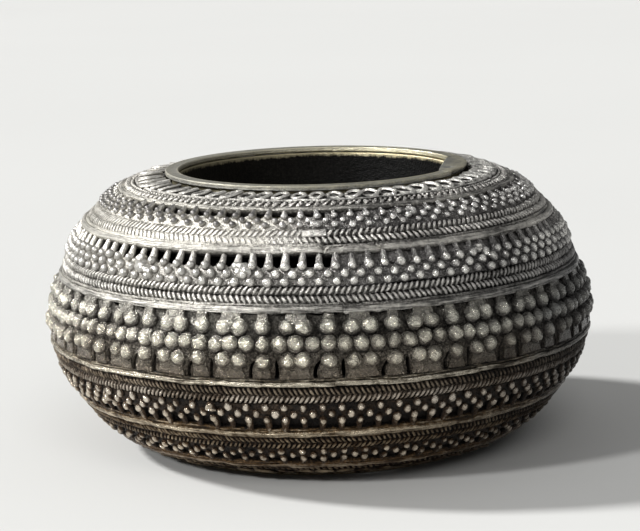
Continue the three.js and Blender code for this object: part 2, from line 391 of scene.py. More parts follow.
# %% [markdown]
# ## How far each point stands proud
# Old brass is bright where hands and cloth reach it, and dark where they don't. Each finished piece therefore
# carries one number per point: how many millimetres it stands proud of the wall's curve. The finishes read
# it, and so the wear follows the ornament. A painted mask or an ambient occlusion bake could do the same, but
# this one is exact and costs nothing.

# %% Points and the curve
batch = 4000


def points_of(piece):
    points = np.empty(3 * len(piece.data.vertices))
    piece.data.vertices.foreach_get("co", points)
    return points.reshape(-1, 3) / mm


def set_points(piece, points):
    piece.data.vertices.foreach_set("co", (points * mm).ravel())
    piece.data.update()


def nearest_on_curve(points):
    """For each point: how far along the curve it lies, and how far it stands out from it."""
    flat = np.column_stack([np.hypot(points[:, 0], points[:, 1]), points[:, 2]])
    nearest = np.concatenate([
        np.argmin(((block[:, None] - wall[None]) ** 2).sum(axis=2), axis=1)
        for block in np.array_split(flat, len(flat) // batch + 1)])
    off = flat - wall[nearest]
    slope = wall_slope[nearest]
    return wall_along[nearest], off[:, 1] * slope[:, 0] - off[:, 0] * slope[:, 1]

# %% [markdown]
# ## The hand in it
# A ring laid by hand wanders a little up and down, and soft wax takes dents from fingers and tools. Waves
# with fixed seeds move the points of a piece, so each run gives the same bowl.

# %% Waves and dents
# How often each wave goes up and down round the bowl, and its share.
wave_shares = ((2, 0.45), (3, 0.3), (5, 0.15), (9, 0.1))
dent_sizes = (5.5, 3.6, 2.4, 1.7, 1.2)


def wave(azimuth, seed, amount):
    """A slow, closed wave round the bowl, as a hand leaves it."""
    phases = np.random.default_rng(seed).uniform(0, 2 * math.pi, len(wave_shares))
    return amount * sum(share * np.sin(count * azimuth + phase)
                        for (count, share), phase in zip(wave_shares, phases))


def reshape(piece, change):
    """Gives a change rule each point's place on the wall and puts the point where the rule says."""
    points = points_of(piece)
    along, out = nearest_on_curve(points)
    along, azimuth, out = change(along, np.arctan2(points[:, 0], -points[:, 1]), out)
    radius, height = on_curve(along, out)
    set_points(piece, np.column_stack([radius * np.sin(azimuth), -radius * np.cos(azimuth), height]))


def hand_laid(piece, seed, across=0.12, shared=0.22):
    """Lets a ring wander along the wall: a wave that all rings share and one of its own."""
    reshape(piece, lambda along, azimuth, out: (
        along + wave(azimuth, 1, shared) + wave(azimuth, seed, across), azimuth, out))


def roughen(piece, amount, seed=5):
    """Presses small dents and swellings into a piece."""
    points = points_of(piece)
    chance = np.random.default_rng(seed)
    push = np.zeros_like(points)
    for size in dent_sizes:
        direction = chance.normal(size=(3, 3))
        direction *= 2 * math.pi / size / np.linalg.norm(direction, axis=1)[:, None]
        push += np.sin(points @ direction.T + chance.uniform(0, 6, 3)) * size**0.4
    set_points(piece, points + amount * push / 4)

# %% [markdown]
# ## Handing a piece over
# Each piece gets its name, its numbers for the wear and its finish; the frame parts it stands for are hidden,
# and it is hung under the root.

# %% Finishing a piece
def finish_piece(piece, finish, slot_name, *nodes, angle=40):
    piece.name = nodes[0]
    piece.data.name = nodes[0]
    for label, values in zip(("along", "proud"), nearest_on_curve(points_of(piece))):
        piece.data.attributes.new(label, "FLOAT", "POINT").data.foreach_set("value", values)
    select_only(piece)
    bpy.ops.object.shade_smooth_by_angle(angle=math.radians(angle))
    piece.data.materials.clear()
    piece.data.materials.append(finish)
    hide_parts(*nodes)
    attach(piece, "root")
    print(nodes[0], len(piece.data.polygons), "faces, top at",
          round(max(vertex.co.z for vertex in piece.data.vertices) / mm, 2), "mm")

# %% [markdown]
# ## The brass
# Aged brass has three looks on one casting: a dark brown crust low down between the threads, a grey-brown
# skin over most of it, and yellow metal rubbed bare on the crests. One graph makes all three. Height above
# the wall chooses between them, and noise at three scales breaks the edges, so that no two balls are alike.
# The graph also paints light and shade: sunlight on the upper left, shade on the right, and painted shade
# with a warm painted reflection that makes the lower half of the bowl warmer and darker.

# %% Aged brass
# In metres. Each pair says where an effect starts and where it is complete.
handled_and_lit_heights = (0.032, 0.052)
painted_low_shade_heights = (0.038, 0.016)
shaded_heights = (0.056, 0.040)
shaded_reach = (0.015, 0.058)


def aged_brass(name, crust, skin, bare, low=(-0.35, 0.25), high=(0.35, 0.95), smooth=0.27, pits=0.8,
               drawn=0.0, upright=False, pale=(0.78, 0.765, 0.73), painted_sun_heights=(1.0, 0.2, 0.35),
               speckled=0.9, sun_edge=(0.012, -0.042), bare_in_painted_sun=0.4):
    """Brass whose skin takes over from its crust between the heights low, and bare metal from the skin
    between the heights high, in millimetres. Streaks run along the thread, or upright. Between the two places
    of sun_edge, in metres to the side, sunlight is painted on the skin, which turns pale on the heights and
    from the share given for that, and keeps less bare metal."""
    crust, skin, bare, pale = (colour(*tone) for tone in (crust, skin, bare, pale))
    finish = bpy.data.materials.new(name)
    finish.use_nodes = True
    tree = finish.node_tree
    shader = tree.nodes["Principled BSDF"]
    place = add_node(tree, "ShaderNodeTexCoord").outputs["Object"]
    proud, nook_and_painted_light, along = (add_node(tree, "ShaderNodeAttribute", attribute_name=label).outputs["Fac"]
                          for label in ("proud", "nook_and_painted_light", "along"))
    axes = add_node(tree, "ShaderNodeSeparateXYZ", {"Vector": place}).outputs

    def noise(scale, detail=3.0, vector=place):
        """Noise with so many bumps in a metre."""
        inputs = {"Vector": vector, "Scale": scale, "Detail": detail}
        return add_node(tree, "ShaderNodeTexNoise", inputs).outputs["Fac"]

    def calc(operation, first, second):
        return add_node(tree, "ShaderNodeMath", {0: first, 1: second}, operation=operation).outputs[0]

    plus, minus, times = (functools.partial(calc, operation) for operation in ("ADD", "SUBTRACT", "MULTIPLY"))

    def swing(value, amount):
        """A noise turned into a push up and down by half the amount."""
        return times(minus(value, 0.5), amount)

    def ramp(value, start, end, to_start=0.0, to_end=1.0):
        return add_node(tree, "ShaderNodeMapRange", {"Value": value, "From Min": start, "From Max": end,
                                                     "To Min": to_start, "To Max": to_end}).outputs[0]

    def blend(factor, first, second, mode="MIX"):
        mix = add_node(tree, "ShaderNodeMix", {"Factor": factor}, data_type="RGBA", blend_type=mode)
        for socket, value in ((mix.inputs[mix_first], first), (mix.inputs[mix_second], second)):
            if isinstance(value, bpy.types.NodeSocket):
                tree.links.new(value, socket)
            else:
                socket.default_value = value
        return mix.outputs[mix_result]

    def stained(surface, stain):
        return blend(1.0, surface, stain, "MULTIPLY")

    clouds = noise(70.0, 4.0)
    dents = noise(800.0)
    grit = noise(2800.0)
    if upright:
        streak_place = {"X": axes["X"], "Y": axes["Y"], "Z": times(axes["Z"], 0.04)}
    else:
        streak_place = {"X": times(along, mm), "Y": times(axes["X"], 0.07), "Z": times(axes["Y"], 0.07)}
    streaks = noise(2400.0, 4.0, add_node(tree, "ShaderNodeCombineXYZ", streak_place).outputs[0])

    # Where the piece is handled and painted lit from above, and where sunlight is painted on its left side.
    level = plus(axes["Z"], swing(clouds, 0.012))
    handled_and_lit = ramp(level, *handled_and_lit_heights)
    spread = 0.55 * (sun_edge[0] - sun_edge[1])
    painted_sunlight = times(ramp(plus(axes["X"], swing(clouds, spread)), *sun_edge), handled_and_lit)

    # How far each point has been rubbed, and how much of skin and bare metal it shows.
    rubbed = plus(plus(proud, swing(dents, 1.2)), plus(swing(clouds, 0.8), swing(streaks, drawn)))
    # Upper parts are rubbed brighter, partly as wear from hands and partly as painted light from above.
    rubbed = plus(rubbed, times(handled_and_lit, 0.3))
    nook_and_painted_light = times(times(nook_and_painted_light, ramp(handled_and_lit, 0.0, 1.0, 1.0, 0.75)), ramp(painted_sunlight, 0.0, 1.0, 1.0, 0.78))
    skin_share = ramp(minus(ramp(rubbed, *low), times(nook_and_painted_light, 0.9)), 0.0, 1.0)
    bare_share = ramp(minus(ramp(rubbed, *high), times(nook_and_painted_light, 1.4)), 0.0, 1.0)
    bare_share = times(bare_share, ramp(painted_sunlight, 0.0, 1.0, 1.0, bare_in_painted_sun))

    # The colours of crust, skin and bare metal, laid over one another.
    # Painted sunlight lightens crust and skin on the upper left side.
    lower_tone = blend(times(painted_sunlight, 0.30), crust, skin)
    upper_tone = blend(times(painted_sunlight, ramp(proud, *painted_sun_heights, 1.0)), skin, pale)
    surface = blend(skin_share, lower_tone, upper_tone)
    # Painted shade and a painted warm reflection make the lower half darker and browner.
    painted_low_shade = ramp(level, *painted_low_shade_heights)
    surface = blend(painted_low_shade, surface, stained(surface, colour(0.76, 0.62, 0.47)))
    ground = ramp(proud, 0.85, 0.1)
    shade = plus(times(clouds, 0.6), plus(grit, swing(streaks, drawn)))
    shade = stained(surface, ramp(shade, 0.58, 1.0, 0.42, 1.18))
    surface = blend(ramp(painted_sunlight, 0.0, 1.0, 1.0, 0.55), surface, shade)
    specks = ramp(noise(1700.0, 2.0), 0.40, 0.60, 0.40, 1.45)
    speckled_ground = times(ground, ramp(painted_sunlight, 0.0, 1.0, speckled, 0.25 * speckled))
    surface = blend(speckled_ground, surface, stained(surface, specks))
    # Low down the bare crests take the same painted warm reflection.
    bright = blend(times(painted_low_shade, 0.6), bare, colour(0.82, 0.72, 0.56))
    surface = blend(times(bare_share, 0.85), surface, bright)
    shaded_side = times(ramp(plus(axes["X"], swing(clouds, 0.02)), *shaded_reach),
                        ramp(level, *shaded_heights, 0.1, 1.0))
    surface = blend(shaded_side, surface, stained(surface, colour(0.51, 0.52, 0.55)))
    tree.links.new(surface, shader.inputs["Base Color"])

    # Shine and pores.
    tree.links.new(ramp(skin_share, 0.0, 1.0, 0.3, 0.85), shader.inputs["Metallic"])
    dull = minus(ramp(skin_share, 0.0, 1.0, 0.7, smooth + 0.12), times(bare_share, 0.12))
    dull = plus(dull, times(painted_sunlight, 0.12))
    tree.links.new(plus(dull, swing(dents, 0.3)), shader.inputs["Roughness"])
    relief = plus(dents, times(grit, ramp(ground, 0.0, 1.0, 0.5, 1.5)))
    relief = plus(times(relief, ramp(painted_sunlight, 0.0, 1.0, 1.0, 0.35)), times(streaks, drawn))
    bump = add_node(tree, "ShaderNodeBump", {"Height": relief, "Strength": pits, "Distance": 0.7 * mm})
    tree.links.new(bump.outputs[0], shader.inputs["Normal"])
    return finish

# %% [markdown]
# ## Twelve tunings
# Ropes, ridges, balls, loops, collar and lining are rubbed in different ways, so each has its own tuning, and
# some have more for worn places. Low places get darker copies as painted shade, with painted highlights on
# the crests of the low balls. One recipe keeps all of them the same metal.

# %% Finishes
crust = (0.14, 0.125, 0.105)
# Where the painted sunlight ends, at the joint at the front.
joint_edge = (0.003, -0.013)
rope_finish = aged_brass(
    "rope_brass", crust, (0.59, 0.58, 0.56), (0.94, 0.925, 0.90),
    low=(-0.75, 0.05), high=(0.3, 0.9), smooth=0.28)
worn_rope_finish = aged_brass(
    "rope_brass_worn", crust, (0.57, 0.56, 0.54), (0.94, 0.925, 0.90),
    low=(-0.75, 0.05), high=(0.3, 0.9), smooth=0.28, sun_edge=joint_edge)
# A darker copy of the rope finish, as painted shade low on the bowl.
shaded_low_rope_finish = aged_brass(
    "rope_brass_low_painted_shade", crust, (0.36, 0.325, 0.29), (0.74, 0.70, 0.64),
    low=(-0.3, 0.5), high=(0.35, 1.1), smooth=0.30)
ridge_finish = aged_brass(
    "ridge_brass", crust, (0.55, 0.54, 0.52), (0.90, 0.885, 0.85),
    high=(0.55, 1.3), smooth=0.28, pits=0.6, drawn=1.7, pale=(0.81, 0.795, 0.755))
worn_ridge_finish = aged_brass(
    "ridge_brass_worn", crust, (0.54, 0.525, 0.475), (0.96, 0.945, 0.89),
    high=(0.3, 1.1), smooth=0.22, pits=0.7, drawn=2.1)
ball_finish = aged_brass(
    "ball_brass", crust, (0.56, 0.55, 0.54), (0.98, 0.97, 0.94),
    low=(-1.3, 0.1), high=(0.8, 1.4), smooth=0.16, speckled=0.6)
# Its ground is painted sunlit on the left, and its balls stay darker there.
painted_sunlit_ground_finish = aged_brass(
    "ball_brass_painted_sunlit_ground", crust, (0.52, 0.51, 0.50), (0.98, 0.97, 0.95),
    low=(-1.3, 0.1), high=(0.6, 1.1), smooth=0.16, painted_sun_heights=(0.75, 0.4, 0.0), speckled=0.35,
    sun_edge=joint_edge, bare_in_painted_sun=0.0)
# A darker copy of the ball finish, as painted shade, with painted highlights on the crests.
shaded_low_ball_finish = aged_brass(
    "ball_brass_low_painted_shade_and_highlight", crust, (0.40, 0.37, 0.335), (1.0, 0.985, 0.96),
    low=(-0.2, 0.6), high=(0.62, 1.12), smooth=0.10)
loop_finish = aged_brass(
    "loop_brass", crust, (0.66, 0.65, 0.63), (0.96, 0.95, 0.92),
    low=(0.25, 0.8), high=(0.5, 1.0), smooth=0.30)
belly_finish = aged_brass(
    "belly_brass", (0.20, 0.18, 0.16), (0.56, 0.545, 0.51), (0.96, 0.945, 0.88),
    low=(-1.5, 0.2), high=(0.7, 1.7), smooth=0.12, pits=1.2)
collar_finish = aged_brass(
    "collar_brass", crust, (0.61, 0.61, 0.59), (0.90, 0.87, 0.75),
    low=(-1.2, -0.2), high=(1.0, 2.4), smooth=0.34, pits=0.45, drawn=0.5)
# The lining is painted near black as shade inside the bowl, and a band of painted light runs along its top.
shaded_inner_finish = aged_brass(
    "inner_brass", (0.045, 0.045, 0.042), (0.08, 0.077, 0.070), (0.95, 0.90, 0.74),
    low=(-40, 10), high=(-1.1, -0.5), pits=0.4, drawn=0.6, upright=True, pale=(0.20, 0.185, 0.155))
print("finishes:", [finish.name for finish in bpy.data.materials if "brass" in finish.name])

# %% [markdown]
# ## Plain ridges
# Each ridge is two threads pressed side by side: a thin flat one above and a thick round one below, with a
# fine groove between and a sharp dark edge underneath. One outline holds both, so one spin makes the ring.
# A loft of two separate tubes would show a gap that the casting hasn't got.

# %% Outline of a ridge
ring_root = -1.5
thin_share = 0.30


def ridge_section(width, height):
    thin_width = thin_share * width
    section = [(0.0, ring_root), (0.0, -0.1)]
    for share in (0.15, 0.4, 0.65, 0.9):
        section.append((thin_width * share, 0.12 + 0.22 * math.sin(math.pi * share)))
    section.append((thin_width, 0.02))
    thick_width = width - thin_width
    thick_points = 9
    for i in range(thick_points):
        share = (i + 0.5) / thick_points
        swelling = math.sin(math.pi * min(1, 0.12 + 0.80 * share)) ** 0.6
        section.append((thin_width + thick_width * share, 0.1 + (height - 0.1) * swelling))
    section += [(width, -0.25), (width - 0.05, ring_root)]
    return section

# %% [markdown]
# ## Hand-rolled threads
# A thread is rolled by hand and laid round until its two ends meet, which leaves a fine gap and a step.
# Elsewhere it swells and thins. Two threads carry lumps of run wax. The spun ring is pressed to that shape.

# %% Ridges
ridge_heights = {"upper_ridge": 0.5, "shoulder_ridge": 0.75, "upper_belly_ridge": 0.7,
                 "lower_belly_ridge": 0.8, "flank_ridge": 0.75, "hip_ridge": 0.7}
butt_ends = {"upper_ridge": 2.1, "shoulder_ridge": 0.02, "upper_belly_ridge": 0.085,
             "lower_belly_ridge": 2.6, "flank_ridge": -2.3, "hip_ridge": 1.9}
ridge_waves = {"lower_belly_ridge": 0.2, "flank_ridge": 0.2, "hip_ridge": 0.14}
# Lumps are given by azimuth, distance below the ring's upper edge, width, length and height.
ridge_lumps = {"shoulder_ridge": [(0.035, 2.0, 1.2, 1.5, 0.75), (0.25, 1.2, 1.9, 1.6, 0.7)],
               "upper_belly_ridge": [(-0.62, 1.1, 1.4, 1.3, 0.65)]}
worn_ridges = ("lower_belly_ridge", "flank_ridge")
ridge_steps = 480
thread_swell = 0.09
butt_step = 0.24
butt_reach = 6
butt_gap = 0.38
gap_floor = -0.4


def lumpy(azimuth, seed):
    return sum(np.sin(count * azimuth + seed * count) for count in (25, 40, 65)) / 3


def press_thread(name, seed, along, azimuth, out):
    """Swells and thins the thread, and parts it where its two ends were butted together."""
    past_end = (azimuth - butt_ends[name]) * on_curve(ring_edges[name][0])[0]
    step = butt_step * np.exp(-np.abs(past_end) / butt_reach) * np.sign(past_end)
    gap = np.exp(-(past_end / butt_gap) ** 2)
    pressed = out + (thread_swell * lumpy(azimuth, seed) - step / 2) * (1 - gap) - (out - gap_floor) * gap
    along = along + step + ridge_waves.get(name, 0.0) * lumpy(azimuth / 2.5 + 1, seed)
    return along, azimuth, np.where(out > 0.05, pressed, out)


def lumps_on(name, table, out):
    start = ring_edges[name][0]
    return [lump(seat(start + down, azimuth, out), *size) for azimuth, down, *size in table.get(name, [])]


for seed, (name, height) in enumerate(ridge_heights.items(), 11):
    start, end = ring_edges[name]
    ridge = spin_ring(name, ridge_section(end - start, height), ridge_steps)
    reshape(ridge, lambda *place: press_thread(name, seed, *place))
    ridge = join_pieces(ridge, *lumps_on(name, ridge_lumps, 0.1))
    roughen(ridge, 0.07, seed)
    hand_laid(ridge, seed)
    finish = worn_ridge_finish if name in worn_ridges else ridge_finish
    finish_piece(ridge, finish, "ridge_brass", name)

# %% [markdown]
# ## Twisted ropes
# Each rope is a pair of wax threads twisted together. From outside only the slanting turns show, so a turn is
# modelled once as a stretched bead that lies across the rope, and is laid round a core, one beside the next.
# A real twist would need thousands of faces for the same look. Neighbouring ropes twist opposite ways, which
# makes the herringbone.

# %% One turn of a rope
def turn_of_rope(width, pitch, lay):
    """A bead drawn out into an S over the rope, from its upper edge round to its lower one."""
    thick = 0.29 * pitch
    lean = lay * 0.36 * width
    reach = 0.52 * width
    crown = 0.42 * width
    sweep = 1.3
    sunk = 0.25
    bead = new_ball(6, 8)
    for vertex in bead.data.vertices:
        across, out, along = (value / mm for value in vertex.co)
        angle = sweep * along
        vertex.co = Vector((thick * across + lean * along, reach * math.sin(angle) / math.sin(sweep),
                            crown * math.cos(angle) - sunk + 0.26 * out)) * mm
    with editing():
        bpy.ops.mesh.normals_make_consistent(inside=False)
    return mark_nook(bead, -0.2, 0.3)


# The number of turns in each rope, and which way it is twisted.
rope_turns = {"upper_rope": (154, 1), "shoulder_rope_a": (246, 1), "shoulder_rope_b": (246, -1),
              "belly_rope_a": (299, 1), "belly_rope_b": (299, -1), "flank_rope_a": (360, -1),
              "flank_rope_b": (360, 1), "hip_rope_a": (320, -1), "hip_rope_b": (320, 1),
              "lower_rope": (232, -1)}
print("turns in all ropes:", sum(count for count, lay in rope_turns.values()))

# %% [markdown]
# ## Beads, patch and wear
# The topmost rope has a row of tiny beads beside it. Two ropes on the left shoulder are worn nearly flat, up
# to a joint at the front, which a flat patch of wax covers.

# %% Beads, patch and wear
bead_row_width = 0.8
bead_row_middle = 0.45
bead_radius = 0.42
bead_count = 230


def row_of_beads(edge):
    bead = mark_nook(new_ball(8, 6, bead_radius), -0.1, 0.3)
    return lay_copies(bead, seats_round(bead_count, edge + bead_row_middle, -0.05, loose=0.05))


def joint_patch(middle):
    patch = flat_tab(5.2, 5.4, 1.75, 0.9, -0.5)
    patch.data.transform(seat(middle + 0.1, -0.016, 0.15, 0.03))
    return patch


def worn_flat(along, azimuth, out):
    """Rubs the turns down and fills the grooves on the left shoulder, up to the joint at the front."""
    left_end = -2.7
    wear = 0.78
    worn = np.clip(-azimuth * 14, 0, 1) * np.clip((azimuth - left_end) * 3, 0, 1)
    rubbed = 0.14 + 0.3 * np.clip(out, 0, 1)
    return along, azimuth, np.where(out > -0.75, out + worn * (rubbed - out) * wear, out)

# %% [markdown]
# ## Laying the ropes
# A core carries the turns and closes the wall behind them. Each turn lies a little loose.

# %% Ropes
rope_finishes = {"shoulder_rope_a": worn_rope_finish, "shoulder_rope_b": worn_rope_finish,
                 "flank_rope_a": shaded_low_rope_finish, "hip_rope_a": shaded_low_rope_finish,
                 "hip_rope_b": shaded_low_rope_finish, "lower_rope": shaded_low_rope_finish}
for seed, (name, (count, lay)) in enumerate(rope_turns.items(), 31):
    edge, end = ring_edges[name]
    start = edge
    section = [(0, ring_root), (0, -0.6)]
    extras = []
    if name == "upper_rope":
        extras.append(row_of_beads(edge))
        section.append((bead_row_middle, -0.15))
        start += bead_row_width
    width = end - start
    middle = (start + end) / 2
    pitch = 2 * math.pi * on_curve(middle)[0] / count
    turns = lay_copies(turn_of_rope(width, pitch, lay), seats_round(count, middle, -0.2, loose=0.05))
    below = start - edge
    section += [(below + 0.05, -0.7), (below + 0.2 * width, -0.3), (below + 0.5 * width, -0.03),
                (below + 0.8 * width, -0.3), (below + width, -0.7), (below + width, ring_root)]
    if name == "shoulder_rope_a":
        extras.append(joint_patch(middle))
    rope = join_pieces(spin_ring(name, section), turns, *extras)
    if name in ("shoulder_rope_a", "shoulder_rope_b"):
        reshape(rope, worn_flat)
    roughen(rope, 0.05, seed)
    hand_laid(rope, seed)
    finish_piece(rope, rope_finishes.get(name, rope_finish), "rope_brass", name, angle=60)

# %% [markdown]
# ## Strips with small balls
# A plain strip carries three courses of small balls, the middle one half a step aside. The course next to the
# ridge sits on little thorns of wax that reach over to it, and between the thorns the wall is open: the holes
# let the core's gases out and make the shell lighter. Strip, thorn and ball are three shapes, laid round.

# %% Small balls and thorns
def small_ball(radius, drawn_out, underside_shade):
    ball = new_ball(10, 6, radius)
    ball.data.transform(Matrix.Diagonal((1 / math.sqrt(drawn_out), drawn_out, 1, 1)))
    return mark_nook(ball, -0.45, 0.35 * radius, underside_shade)


def thorn(neck, foot, length):
    """A tongue of wax: narrow where it meets the ridge, spreading evenly to the width of its ball."""
    tongue = new_ball(10, 8)
    tongue.data.transform(Matrix.Rotation(math.pi / 2, 4, "X"))
    for vertex in tongue.data.vertices:
        share = (vertex.co.y / mm + 1) / 2
        fullness = math.sqrt(max(0.0, 1 - (2 * share - 1) ** 2)) or 1.0
        blunt = min(1.0, 2.2 * fullness) / fullness
        waist = foot + (neck - foot) * min(1.0, 1.15 * share) + 2.0 * max(0.0, share - 0.85)
        vertex.co.x *= waist / 2 * blunt
        vertex.co.z *= (0.85 - 0.2 * share) * blunt
        vertex.co.y = (share * length - 0.12 * length) * mm
    return mark_nook(tongue, -0.6, 0.2)

# %% [markdown]
# ## The strip under the balls
# The free edge of the thin strip follows the balls. Where wax was smeared behind the thorns, a second, deeper
# strip closes the openings. A spin that stops part of the way round makes it.

# %% Strips and smears
def strip_section(near, far):
    """A thin strip between two distances from the ring's upper edge."""
    return [(near + 0.1, -1.3), (near, -0.9), (near, -0.25), (near + 0.2, 0.0), ((near + far) / 2, 0.06),
            (far - 0.2, 0.0), (far, -0.25), (far, -0.9), (far - 0.1, -1.3)]


def scallop(edge, side, count, along, azimuth, out):
    """Lets the free edge of a strip run in and out, once for each ball."""
    reach = 1.2
    swing = 0.5
    near = np.clip(1 - np.abs(along - edge) / reach, 0, 1)
    return along - side * swing * near * np.cos(count * azimuth), azimuth, out


def partly_closed(name, near, far, depth, start_angle, turn_angle):
    """Wax smeared behind the thorns, deep under the curve."""
    start = ring_edges[name][0]
    section = ((near, depth - 0.6), (near, depth), ((near + far) / 2, depth + 0.12), (far, depth),
               (far, depth - 0.6))
    outline = [on_curve(start + down, out) for down, out in section]
    smear = spin_part_way(outline, start_angle, turn_angle, int(turn_angle * 1.5))
    roughen(smear, 0.3, 9)
    layer = smear.data.attributes.new("nook_and_painted_light", "FLOAT", "POINT")
    layer.data.foreach_set("value", [0.2] * len(smear.data.vertices))
    return smear

# %% [markdown]
# ## Four bands of small balls
# The two bands above the belly have their openings at the upper edge, the two below it at the lower edge. The
# balls above are round, those below a little long, and lumps of run wax cover a few of them.

# %% Bands of small balls
# Balls in a course, their radius, the side (1 above the belly, -1 below), and where the smear starts and how
# far it goes, in degrees.
ball_bands = {"upper_ball_band": (84, 0.82, 1, (2, 170)), "shoulder_ball_band": (100, 1.08, 1, (3, 165)),
              "flank_ball_band": (94, 0.98, -1, (-179, 358)), "hip_ball_band": (74, 0.88, -1, (-179, 358))}
band_finishes = {"upper_ball_band": painted_sunlit_ground_finish, "shoulder_ball_band": ball_finish,
                 "flank_ball_band": shaded_low_ball_finish, "hip_ball_band": shaded_low_ball_finish}
band_lumps = {"upper_ball_band": [(-0.015, 4.7, 2.4, 1.7, 0.8), (0.43, 2.0, 1.8, 2.2, 0.8)],
              "shoulder_ball_band": [(-0.29, 4.1, 3.4, 3.6, 1.1), (-0.74, 3.6, 2.8, 4.4, 1.1),
                                     (-0.68, 5.4, 2.0, 2.6, 1.0), (0.665, 1.9, 3.4, 2.6, 0.95),
                                     (0.70, 4.3, 3.4, 1.9, 1.05)],
              "flank_ball_band": [(-0.9, 2.3, 2.4, 3.0, 1.0), (-0.40, 1.3, 2.0, 2.2, 0.9)]}
# For each side: the smear's depth, how long the balls are, how far painted shade climbs on their undersides,
# the thorns' turn.
band_sides = {1: (-0.35, 1.0, 0.25, 0), -1: (-0.9, 1.15, 0.6, math.pi)}
courses = 3
course_share = 0.24
ball_out = 0.22
for seed, (name, (count, ball_radius, side, closed)) in enumerate(ball_bands.items(), 51):
    start, end = ring_edges[name]
    width = end - start
    course = course_share * width
    blank = width - courses * course - (0.4 if name == "upper_ball_band" else 0.0)
    opening = blank + 0.3 * course
    smear_depth, long, underside_shade, thorn_turn = band_sides[side]

    def down_or_up(down):
        """Bands below the belly are laid upside down."""
        return down if side > 0 else width - down

    strip_edges = sorted((down_or_up(opening), down_or_up(width)))
    strip = spin_ring(name, strip_section(*strip_edges), 6 * count)
    reshape(strip, lambda *place: scallop(start + down_or_up(opening), side, count, *place))
    roughen(strip, 0.14, seed)
    smear_edges = sorted((down_or_up(-0.1), down_or_up(opening + 0.3)))
    smear = partly_closed(name, *smear_edges, smear_depth, *closed)
    seats = []
    for row in range(courses):
        along = start + down_or_up(blank + (row + 0.5) * course)
        half_step = math.pi / count if row == 1 else 0
        seats += seats_round(count, along, ball_out, uneven(0.2), half_step, 0.1)
    balls = lay_copies(small_ball(ball_radius, long, underside_shade), seats)
    thorns = lay_copies(thorn(1.25 * ball_radius, 2.1 * ball_radius, blank + 0.9 * course),
                        seats_round(count, start + down_or_up(blank + 0.5 * course), -0.1, thorn_turn,
                                    loose=0.11))
    band = join_pieces(strip, smear, balls, thorns, *lumps_on(name, band_lumps, 0.3))
    hand_laid(band, seed)
    roughen(band, 0.05, seed)
    finish_piece(band, band_finishes[name], "ball_brass", name, angle=60)

# %% [markdown]
# ## The belly band
# The broad band has large balls in rosettes of two, three and two, with single columns between them. The top
# course sits on wide and narrow tabs over a rough, sunken ground, and a pair of slots flanks each single
# column below. The slots are cut with one boolean for all of them, since they go right through the strip.

# %% Belly strip
belly_periods = 28
period = 2 * math.pi / belly_periods
ball_step = period / 4
belly_turn = -0.086
sunken = 4.7
strip_outline = [(sunken - 0.4, ring_root), (sunken - 0.4, -0.75), (sunken + 0.2, -0.55),
                 (sunken + 1.2, -0.35), (sunken + 2.4, -0.15), (8.8, -0.02), (10.5, 0.02),
                 (belly_width - 0.5, 0.0), (belly_width, -0.15), (belly_width, ring_root)]
ground_outline = [(0.0, -1.55), (0.0, -0.6), (1.2, -0.55), (2.4, -0.65), (3.6, -0.55), (sunken, -0.65),
                  (sunken, -1.55)]
strip = spin_ring("belly_band", strip_outline, 12 * belly_periods)
ground = spin_ring("belly_band", ground_outline, 16 * belly_periods)
roughen(ground, 0.35, 3)
print("one rosette and one column take", round(period * on_curve(belly_middle)[0], 1), "mm")

# %% [markdown]
# ## Slots
# A warm blade could have cut the slots beside each column. Their heads are rounded, and the left ones lean
# over the column like a hook. A cube divided into small cells can be bent to that shape.

# %% Slots
slot_height = 4.4
slot_off = 2.9
left_bend = 2.4


def slot_cutter(bend):
    bpy.ops.mesh.primitive_cube_add(size=mm)
    cutter = bpy.context.object
    with editing():
        bpy.ops.mesh.subdivide(number_cuts=7)
    for vertex in cutter.data.vertices:
        side, up, deep = (2 * value / mm for value in vertex.co)
        head = max(0.0, up - 0.75) / 0.25
        side *= 0.44 * math.sqrt(max(0.02, 1 - head**2))
        vertex.co = Vector((side + bend * max(0.0, up - 0.25) ** 2, slot_height * up, 3.0 * deep)) * mm
    return cutter


slot_turn = slot_off / on_curve(belly_bottom)[0]
cutters = []
for side, bend in ((-1, left_bend), (1, 0.0)):
    seats = []
    for turn in range(belly_periods):
        along = belly_bottom + uneven(0.3)
        azimuth = belly_turn + (turn + 0.5) * period + side * slot_turn + uneven(0.004)
        seats.append(seat(along, azimuth, turn=uneven(0.05)))
    cutters.append(lay_copies(slot_cutter(bend), seats))
cutters = join_pieces(*cutters)
cut = strip.modifiers.new("slots", "BOOLEAN")
cut.object = cutters
select_only(strip)
bpy.ops.object.modifier_apply(modifier="slots")
bpy.data.objects.remove(cutters)
roughen(strip, 0.12, 4)
print("belly strip with slots:", len(strip.data.polygons), "faces")

# %% [markdown]
# ## Large balls and tabs
# Ten balls and four tabs repeat twenty-eight times. The balls nearly touch and are pressed a little into the
# strip. The tabs are flat slips of wax, tapered towards their upper ends.

# %% Large balls and tabs
large_radius = 1.95
ball_sunk = -0.45
row_pitch = 3.6
middle_row = belly_middle - 0.6
# Each row: how many rows below the middle, and at which steps round the bowl its balls stand.
rosette = ((-1, (-0.5, 0.5, 2)), (0, (-1, 0, 1, 2)), (1, (-0.5, 0.5, 2)))

# The last number paints shade on the underside of each large ball.
large_ball = mark_nook(new_ball(16, 10, large_radius), -0.3, 1.0, 0.4)
seats = []
for turn in range(belly_periods):
    for row, steps in rosette:
        for step in steps:
            along = middle_row + row * row_pitch + uneven(0.15)
            azimuth = belly_turn + turn * period + step * ball_step + uneven(0.003)
            out = ball_sunk + uneven(0.05)
            seats.append(seat(along, azimuth, out, uneven(0.2), 1 + uneven(0.04)))
balls = lay_copies(large_ball, seats)
roughen(balls, 0.2, 6)


